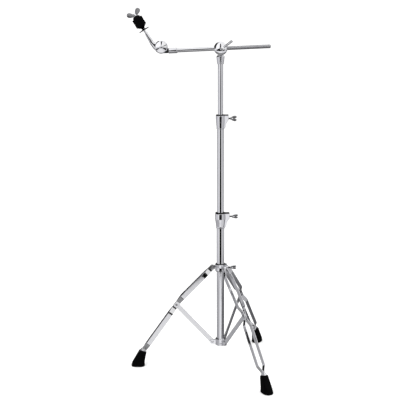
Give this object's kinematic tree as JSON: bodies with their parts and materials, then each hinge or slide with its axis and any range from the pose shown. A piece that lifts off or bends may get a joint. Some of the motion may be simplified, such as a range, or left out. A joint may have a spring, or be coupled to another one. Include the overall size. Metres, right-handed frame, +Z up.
{
  "type": "cymbal boom stand",
  "caption": "Chrome folding tripod stand with a telescoping column, a tilting boom and a cymbal tilter with felts and a wing nut.",
  "frame": {"origin": "on the floor, at the middle of the stand's footprint box", "axes": "+Z up along the column; the boom's cymbal end and one leg point along -X; the boom clamp's lever faces -Y"},
  "size_m": [0.5303, 0.6078, 1.3684],
  "materials": {
    "chrome": "polished chrome plate on steel tube",
    "leg_chrome": "chrome plate on flat steel strip",
    "cast_chrome": "chrome plate on castings",
    "bright_steel": "plated steel fasteners",
    "knurled_steel": "knurled plated rod",
    "rubber": "matte black rubber",
    "nylon": "black nylon",
    "felt": "dense black wool felt"
  },
  "bodies": {
    "base": {"base_tube": "chrome", "base_tube_plug": "nylon", "spider": "cast_chrome", "lower_collar": "cast_chrome", "lower_collar_bush": "nylon"},
    "hub": {"leg_hub": "cast_chrome", "hub_bush": "nylon", "left_hub_rivet": "bright_steel", "front_hub_rivet": "bright_steel", "back_hub_rivet": "bright_steel"},
    "hub_bolt": {"hub_wing_bolt": "bright_steel"},
    "lower_bolt": {"lower_wing_bolt": "bright_steel"},
    "middle_guide": {"middle_tube_guide": "nylon"},
    "middle": {"middle_tube": "chrome", "upper_collar": "cast_chrome", "upper_collar_bush": "nylon"},
    "upper_bolt": {"upper_wing_bolt": "bright_steel"},
    "upper_guide": {"upper_tube_guide": "nylon"},
    "upper": {"upper_tube": "chrome", "boom_holder": "cast_chrome", "tilt_pivot_bolt": "bright_steel"},
    "clamp": {"boom_clamp_body": "cast_chrome", "boom_clamp_cap": "chrome"},
    "clamp_lever": {"boom_clamp_lever": "chrome"},
    "clamp_bush": {"boom_bush": "nylon"},
    "boom": {"boom_tube": "chrome", "boom_rod": "knurled_steel", "boom_ferrule": "cast_chrome", "ferrule_screw": "nylon"},
    "tilter": {"tilter_arm": "cast_chrome", "tilter_cap": "chrome", "tilter_nut": "bright_steel", "cymbal_rod": "chrome", "seat_washer": "rubber", "rod_sleeve": "rubber", "lower_felt": "felt", "upper_felt": "felt", "top_washer": "nylon"},
    "tilter_bolt": {"tilter_wing_bolt": "bright_steel"},
    "wing_nut": {"wing_nut": "bright_steel"},
    "left_leg": {"left_leg_strip_a": "leg_chrome", "left_leg_strip_b": "leg_chrome", "left_brace_pin": "bright_steel", "left_ferrule": "leg_chrome", "left_foot": "rubber"},
    "left_brace": {"left_brace": "leg_chrome"},
    "front_leg": {"front_leg_strip_a": "leg_chrome", "front_leg_strip_b": "leg_chrome", "front_brace_pin": "bright_steel", "front_ferrule": "leg_chrome", "front_foot": "rubber"},
    "front_brace": {"front_brace": "leg_chrome"},
    "back_leg": {"back_leg_strip_a": "leg_chrome", "back_leg_strip_b": "leg_chrome", "back_brace_pin": "bright_steel", "back_ferrule": "leg_chrome", "back_foot": "rubber"},
    "back_brace": {"back_brace": "leg_chrome"}
  },
  "joints": [
    {"name": "tripod_fold", "type": "slide", "parent": "base", "child": "hub", "axis": [0, 0, 1], "range_m": [0, 0.10383]},
    {"name": "left_leg_pivot", "type": "hinge", "parent": "hub", "child": "left_leg", "pos_m": [0.05167, 0, 0.396], "axis": [0, -1, 0], "range_deg": [0, 34.48]},
    {"name": "left_brace_pivot", "type": "hinge", "parent": "left_leg", "child": "left_brace", "pos_m": [-0.08647, 0, 0.24725], "axis": [0, -1, 0], "range_deg": [-68.96, 0]},
    {"name": "front_leg_pivot", "type": "hinge", "parent": "hub", "child": "front_leg", "pos_m": [0.09817, -0.02685, 0.396], "axis": [0.866, 0.5, 0], "range_deg": [0, 34.48]},
    {"name": "front_brace_pivot", "type": "hinge", "parent": "front_leg", "child": "front_brace", "pos_m": [0.16724, -0.14648, 0.24725], "axis": [0.866, 0.5, 0], "range_deg": [-68.96, 0]},
    {"name": "back_leg_pivot", "type": "hinge", "parent": "hub", "child": "back_leg", "pos_m": [0.09817, 0.02685, 0.396], "axis": [-0.866, 0.5, 0], "range_deg": [0, 34.48]},
    {"name": "back_brace_pivot", "type": "hinge", "parent": "back_leg", "child": "back_brace", "pos_m": [0.16724, 0.14648, 0.24725], "axis": [-0.866, 0.5, 0], "range_deg": [-68.96, 0]},
    {"name": "hub_bolt_turn", "type": "hinge", "parent": "hub", "child": "hub_bolt", "pos_m": [0.09727, 0, 0.395], "axis": [1, 0, 0], "range_deg": [0, 270]},
    {"name": "lower_bolt_turn", "type": "hinge", "parent": "base", "child": "lower_bolt", "pos_m": [0.09567, 0, 0.5935], "axis": [1, 0, 0], "range_deg": [0, 270]},
    {"name": "middle_height", "type": "slide", "parent": "base", "child": "middle_guide", "axis": [0, 0, 1], "range_m": [-0.31, 0.1]},
    {"name": "middle_swivel", "type": "hinge", "parent": "middle_guide", "child": "middle", "pos_m": [0.08267, 0, 0.43], "axis": [0, 0, 1], "continuous": true},
    {"name": "upper_bolt_turn", "type": "hinge", "parent": "middle", "child": "upper_bolt", "pos_m": [0.09247, 0, 0.964], "axis": [1, 0, 0], "range_deg": [0, 270]},
    {"name": "upper_height", "type": "slide", "parent": "middle", "child": "upper_guide", "axis": [0, 0, 1], "range_m": [-0.18, 0.2]},
    {"name": "upper_swivel", "type": "hinge", "parent": "upper_guide", "child": "upper", "pos_m": [0.08267, 0, 0.7], "axis": [0, 0, 1], "continuous": true},
    {"name": "boom_tilt", "type": "hinge", "parent": "upper", "child": "clamp", "pos_m": [0.08267, 0, 1.2205], "axis": [0, -1, 0], "range_deg": [-70, 70]},
    {"name": "clamp_lever_turn", "type": "hinge", "parent": "clamp", "child": "clamp_lever", "pos_m": [0.08767, 0, 1.2207], "axis": [0, -1, 0], "range_deg": [0, 180]},
    {"name": "boom_turn", "type": "hinge", "parent": "clamp", "child": "clamp_bush", "pos_m": [0.08267, -0.024, 1.2205], "axis": [0.9992, 0, 0.0401], "continuous": true},
    {"name": "boom_slide", "type": "slide", "parent": "clamp_bush", "child": "boom", "axis": [0.9992, 0, 0.0401], "range_m": [-0.12, 0.12]},
    {"name": "cymbal_tilt", "type": "hinge", "parent": "boom", "child": "tilter", "pos_m": [-0.13343, -0.024, 1.2265], "axis": [0, -1, 0], "range_deg": [-70, 100]},
    {"name": "tilter_bolt_turn", "type": "hinge", "parent": "boom", "child": "tilter_bolt", "pos_m": [-0.13343, -0.0385, 1.2265], "axis": [0, 1, 0], "range_deg": [0, 270]},
    {"name": "wing_nut_turn", "type": "hinge", "parent": "tilter", "child": "wing_nut", "pos_m": [-0.22463, -0.029, 1.3366], "axis": [-0.5299, 0, 0.848], "continuous": true}
  ],
  "couplings": [
    {"joint": "left_leg_pivot", "follows": "tripod_fold", "rad_per_m": 5.7459},
    {"joint": "left_brace_pivot", "follows": "tripod_fold", "rad_per_m": -11.492},
    {"joint": "front_leg_pivot", "follows": "tripod_fold", "rad_per_m": 5.7459},
    {"joint": "front_brace_pivot", "follows": "tripod_fold", "rad_per_m": -11.492},
    {"joint": "back_leg_pivot", "follows": "tripod_fold", "rad_per_m": 5.7459},
    {"joint": "back_brace_pivot", "follows": "tripod_fold", "rad_per_m": -11.492}
  ]
}
